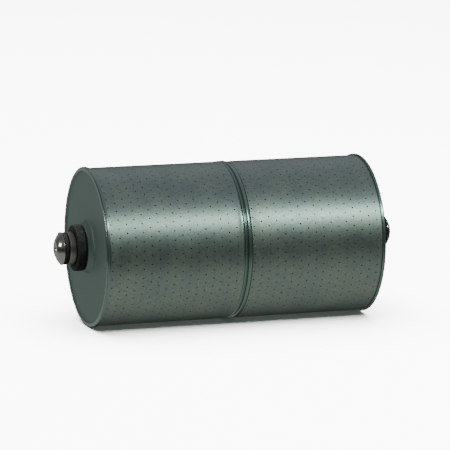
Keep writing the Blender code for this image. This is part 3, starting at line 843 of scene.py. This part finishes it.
SPRING_TURNS = 6
SPRING_RADIUS = 3.7 * MM
WIRE = 0.45 * MM
WIRE_SIDES = 12
SPRING_TOP = 5.25 * MM
SPRING_BASE = -6.05 * MM


def coil(name, way, material):
    """A wire of round section carried along a helix whose end turns lie flat.

    Centre line: y = -R cos t, z = R sin t, h = base + rise * e, where e eases in and out over
    the first and last turn. The section is turned by the line's own direction, and each end is
    closed by a point.
    """
    t = np.linspace(0, 2 * np.pi * SPRING_TURNS, SPRING_TURNS * 32 + 1)
    turn = t / (2 * np.pi)
    shut = 2 * WIRE / (SPRING_TOP - SPRING_BASE)
    knots = [0, 1, SPRING_TURNS - 1, SPRING_TURNS]
    e = np.interp(turn, knots, [0, shut, 1 - shut, 1])
    h = SPRING_BASE + (SPRING_TOP - SPRING_BASE) * e
    out = np.stack([0 * t, -np.cos(t), np.sin(t)], axis=1)
    line = out * SPRING_RADIUS
    line[:, 0] = way * (RIM_PLANE + h)
    ahead = np.gradient(line, axis=0)
    ahead /= np.linalg.norm(ahead, axis=1, keepdims=True)
    up = np.cross(ahead, out)
    a = 2 * np.pi * np.arange(WIRE_SIDES) / WIRE_SIDES
    normals = out[:, None, :] * np.cos(a)[:, None] + up[:, None, :] * np.sin(a)[:, None]
    points = line[:, None, :] + normals * WIRE
    index = np.arange(len(t) * WIRE_SIDES).reshape(len(t), WIRE_SIDES)
    near, far = index[:-1], index[1:]
    quads = np.stack([near, np.roll(near, -1, 1), np.roll(far, -1, 1), far], axis=2).reshape(-1, 4)
    count = index.size
    caps = [(int(i), int(j), count) for i, j in zip(np.roll(index[0], -1), index[0])]
    caps += [(int(i), int(j), count + 1) for i, j in zip(index[-1], np.roll(index[-1], -1))]
    points = np.vstack([points.reshape(-1, 3), line[:1], line[-1:]])
    normals = np.vstack([normals.reshape(-1, 3), -ahead[:1], ahead[-1:]])
    return put(name, points, quads.tolist() + caps, normals, material)


for side, way in (("front", -1), ("rear", 1)):
    spring = coil(f"{side}_coiled_spring", way, wire)
    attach(spring, "canister")
    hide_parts(f"{side}_valve_spring")
    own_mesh(spring)

# ---------------------------------------------------------------------------------------------
# The nuts and washers inside the cap: cold-formed steel, bright zinc plated in a barrel. They
# clamp the nozzle and hold the valve's spring.

# Barrel zinc: brighter than the can, with fine knocks from tumbling and a bluish cast.
bright_zinc, tree, shader = finish_of("barrel plated zinc", "#A9ADA8", 0.3, 1.0)
place = add(tree, "ShaderNodeTexCoord", {}, {})
knocks = add(tree, "ShaderNodeTexVoronoi", {"Scale": 1 / (1.2 * MM)}, {"Vector": (place, "Object")})
tumbled = add(
    tree,
    "ShaderNodeBump",
    {"Strength": 0.3, "Distance": 0.05 * MM},
    {"Height": (knocks, "Distance")},
)
tree.links.new(tumbled.outputs["Normal"], shader.inputs["Normal"])
cast = add(
    tree,
    "ShaderNodeTexNoise",
    {"Scale": 1 / (4 * MM), "Detail": 3.0},
    {"Vector": (place, "Object")},
)
tint = add(
    tree,
    "ShaderNodeMix",
    {"data_type": "RGBA", 6: linear("#9FA6A6"), 7: linear("#B3B4AC")},
    {"Factor": (cast, "Fac")},
)
tree.links.new(tint.outputs[2], shader.inputs["Base Color"])
for side in ("front", "rear"):
    for piece in ("washer", "lock_nut", "valve_nut"):
        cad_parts[f"{side}_{piece}"].material_slots[0].material = bright_zinc

# ---------------------------------------------------------------------------------------------
# The paper packs: resin-treated paper folded into pleats round a tinplate tube with windows, and
# glued between two tinplate discs. A rubber bush seals each pack on its nozzle.

# Tinplate: bright, soft metal with a faint flow line along the sheet.
tinplate, tree, shader = finish_of("tinplate", "#B2B1A8", 0.32, 1.0)
place = add(tree, "ShaderNodeTexCoord", {}, {})
stretch = add(
    tree, "ShaderNodeMapping", {"Scale": (150.0, 1500.0, 1500.0)}, {"Vector": (place, "Object")}
)
flow = add(
    tree, "ShaderNodeTexNoise", {"Scale": 1.0, "Detail": 3.0}, {"Vector": (stretch, "Vector")}
)
tint = add(
    tree,
    "ShaderNodeMix",
    {"data_type": "RGBA", 6: linear("#A6A69E"), 7: linear("#BEBCB2")},
    {"Factor": (flow, "Fac")},
)
tree.links.new(tint.outputs[2], shader.inputs["Base Color"])
flowed = add(
    tree, "ShaderNodeBump", {"Strength": 0.2, "Distance": 0.03 * MM}, {"Height": (flow, "Fac")}
)
tree.links.new(flowed.outputs["Normal"], shader.inputs["Normal"])

# Filter paper soaked in phenolic resin: straw brown, with fibres about 1 mm long.
paper, tree, shader = finish_of("resin treated filter paper", "#C9A765", 0.85, 0.0)
place = add(tree, "ShaderNodeTexCoord", {}, {})
fibre = add(
    tree,
    "ShaderNodeTexNoise",
    {"Scale": 1 / (1 * MM), "Detail": 6.0},
    {"Vector": (place, "Object")},
)
tint = add(
    tree,
    "ShaderNodeMix",
    {"data_type": "RGBA", 6: linear("#B28F50"), 7: linear("#D8BC80")},
    {"Factor": (fibre, "Fac")},
)
tree.links.new(tint.outputs[2], shader.inputs["Base Color"])
felted = add(
    tree, "ShaderNodeBump", {"Strength": 0.5, "Distance": 0.06 * MM}, {"Height": (fibre, "Fac")}
)
tree.links.new(felted.outputs["Normal"], shader.inputs["Normal"])

for side in ("front", "rear"):
    for piece in ("outer_disc", "inner_disc", "core_tube"):
        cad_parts[f"{side}_{piece}"].material_slots[0].material = tinplate
    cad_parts[f"{side}_pleated_paper"].material_slots[0].material = paper
    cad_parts[f"{side}_tail_seal"].material_slots[0].material = nitrile

# ---------------------------------------------------------------------------------------------
# Between the packs: a short tinplate tube joins their cores, and a pressed wool felt ring takes
# up the slack.

# Pressed wool felt: grey-brown, matt, with a loose nap about 0.6 mm deep.
felt, tree, shader = finish_of("pressed wool felt", "#A0988A", 0.95, 0.0)
shader.inputs["Sheen Weight"].default_value = 0.3
place = add(tree, "ShaderNodeTexCoord", {}, {})
nap = add(
    tree,
    "ShaderNodeTexNoise",
    {"Scale": 1 / (0.6 * MM), "Detail": 6.0},
    {"Vector": (place, "Object")},
)
tint = add(
    tree,
    "ShaderNodeMix",
    {"data_type": "RGBA", 6: linear("#857E72"), 7: linear("#B5AD9E")},
    {"Factor": (nap, "Fac")},
)
tree.links.new(tint.outputs[2], shader.inputs["Base Color"])
raised = add(
    tree, "ShaderNodeBump", {"Strength": 0.8, "Distance": 0.3 * MM}, {"Height": (nap, "Fac")}
)
tree.links.new(raised.outputs["Normal"], shader.inputs["Normal"])
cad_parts["middle_gasket"].material_slots[0].material = felt
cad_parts["pack_coupling"].material_slots[0].material = tinplate

# ---------------------------------------------------------------------------------------------
# The studio: a matt white table under a broad lamp, a strip lamp high on the camera's side, a
# small window past the front end, and a room round it in a few tones. The camera stands 2 m
# away, 18 degrees round towards the front end and 10 degrees up.

TABLE = -RIM_RADIUS - 0.1 * MM
TABLE_HALF = 8.0
mesh = bpy.data.meshes.new("table")
square = ((-1, -1), (1, -1), (1, 1), (-1, 1))
mesh.from_pydata([(x * TABLE_HALF, y * TABLE_HALF, TABLE) for x, y in square], [], [(0, 1, 2, 3)])
table = bpy.data.objects.new("table", mesh)
bpy.context.scene.collection.objects.link(table)
white, tree, shader = finish_of("matt white table", "#F4F5F4", 1.0, 0.0)
shader.inputs["Specular IOR Level"].default_value = 0.0
mesh.materials.append(white)
table.visible_glossy = False
table.visible_diffuse = False


def lamp(name, place, target, width, height, power):
    """A rectangular area light at place, facing target."""
    data = bpy.data.lights.new(name, "AREA")
    data.shape = "RECTANGLE"
    data.size = width
    data.size_y = height
    data.energy = power
    made = bpy.data.objects.new(name, data)
    bpy.context.scene.collection.objects.link(made)
    place, target = np.array(place), np.array(target)
    away = (place - target) / np.linalg.norm(place - target)
    right = np.cross((0, 0, 1), away) if abs(away[2]) < 0.99 else np.array((1.0, 0, 0))
    right = right / np.linalg.norm(right)
    turn = np.stack([right, np.cross(away, right), away], axis=1)
    made.matrix_world = Matrix([(*turn[i], place[i]) for i in range(3)] + [(0, 0, 0, 1)])
    return made


key = lamp("key", (0.41, -0.74, 0.60), (0.41, 0, 0), 0.46, 0.13, 3.3)
key.data.color = (0.84, 1.0, 0.95)
lamp("window", (-1.10, 0.33, 0.17), (-0.09, 0, 0), 0.16, 0.12, 1.8)
overhead = lamp("overhead", (0.0, -0.25, 2.4), (0.0, -0.25, 0.0), 3.0, 5.5, 1300.0)
overhead.visible_glossy = False

# The room, as brightness round the can's own axis: degrees from the camera side upwards
ROOM = (
    (-180, 0.0),
    (-154, 0.01),
    (-142, 0.02),
    (-130, 0.11),
    (-118, 0.24),
    (-94, 0.42),
    (-58, 0.50),
    (-38, 0.48),
    (-26, 0.30),
    (-18, 0.14),
    (-8, 0.12),
    (8, 0.12),
    (18, 0.22),
    (32, 0.30),
    (60, 0.37),
    (98, 0.36),
    (122, 0.45),
    (146, 0.46),
    (160, 0.30),
    (172, 0.06),
    (180, 0.0),
)
# The room past the front end, as brightness over the height at which one looks into it
ROOM_AHEAD = (
    (-1.0, 0.44),
    (-0.34, 0.44),
    (-0.24, 0.16),
    (-0.14, 0.06),
    (0.04, 0.06),
    (0.16, 0.16),
    (0.3, 0.2),
    (1.0, 0.2),
)


def brightness(tree, levels, low, high, source, cool_from):
    """A ramp of greys over a value that runs from low to high, bluer from cool_from up."""
    share = add(tree, "ShaderNodeMapRange", {"From Min": low, "From Max": high}, {"Value": source})
    ramp = add(tree, "ShaderNodeValToRGB", {}, {"Fac": (share, "Result")})
    stops = ramp.color_ramp.elements
    while len(stops) < len(levels):
        stops.new(0.5)
    for stop, (at, level) in zip(stops, levels):
        stop.position = (at - levels[0][0]) / (levels[-1][0] - levels[0][0])
    for stop, (at, level) in zip(stops, levels):
        stop.color = (level * 0.97, level, level * (1.1 if at > cool_from else 0.96), 1.0)
    return ramp


world = bpy.data.worlds.new("room")
bpy.context.scene.world = world
world.use_nodes = True
tree = world.node_tree
sky = tree.nodes["Background"]
place = add(tree, "ShaderNodeTexCoord", {}, {})
split = add(tree, "ShaderNodeSeparateXYZ", {}, {"Vector": (place, "Generated")})
towards = add(tree, "ShaderNodeMath", {"operation": "MULTIPLY", 1: -1.0}, {0: (split, "Y")})
angle = add(
    tree, "ShaderNodeMath", {"operation": "ARCTAN2"}, {0: (split, "Z"), 1: (towards, "Value")}
)
beside = brightness(tree, ROOM, -np.pi, np.pi, (angle, "Value"), 20)
ahead = brightness(tree, ROOM_AHEAD, -1.0, 1.0, (split, "Z"), 1)
behind = add(
    tree,
    "ShaderNodeMapRange",
    {"From Min": -0.1, "From Max": 0.12, "To Min": 0.46, "To Max": 0.32},
    {"Value": (split, "Z")},
)
past_end = add(
    tree, "ShaderNodeMapRange", {"From Min": -0.05, "From Max": -0.25}, {"Value": (split, "X")}
)
towards_end = add(
    tree, "ShaderNodeMapRange", {"From Min": -0.4, "From Max": -0.6}, {"Value": (split, "X")}
)
room_behind = add(
    tree,
    "ShaderNodeMix",
    {"data_type": "RGBA"},
    {"Factor": (past_end, "Result"), 6: (beside, "Color"), 7: (behind, "Result")},
)
room = add(
    tree,
    "ShaderNodeMix",
    {"data_type": "RGBA"},
    {"Factor": (towards_end, "Result"), 6: (room_behind, 2), 7: (ahead, "Color")},
)

# Behind the table stands the same white, which lights nothing
rays = add(tree, "ShaderNodeLightPath", {}, {})
behind_table = add(
    tree,
    "ShaderNodeMix",
    {"data_type": "RGBA", 7: (9.0, 9.0, 9.0, 1.0)},
    {"Factor": (rays, "Is Camera Ray"), 6: (room, 2)},
)
tree.links.new(behind_table.outputs[2], sky.inputs["Color"])

LOOK_AT = np.array((0.667, 0.0, 8.134)) * MM
AZIMUTH, ELEVATION, DISTANCE = np.radians(-18.12), np.radians(9.67), 2.0
LENS = 287.0
back = np.array(
    (np.sin(AZIMUTH) * np.cos(ELEVATION), -np.cos(AZIMUTH) * np.cos(ELEVATION), np.sin(ELEVATION))
)
right = np.cross((0, 0, 1), back)
right = right / np.linalg.norm(right)
turn = np.stack([right, np.cross(back, right), back], axis=1)
eye = LOOK_AT + back * DISTANCE
camera_data = bpy.data.cameras.new("camera")
camera_data.lens = LENS
camera_data.sensor_width = 36.0
camera_data.clip_end = 50.0
camera = bpy.data.objects.new("camera", camera_data)
camera.matrix_world = Matrix([(*turn[i], eye[i]) for i in range(3)] + [(0, 0, 0, 1)])
bpy.context.scene.collection.objects.link(camera)
bpy.context.scene.camera = camera
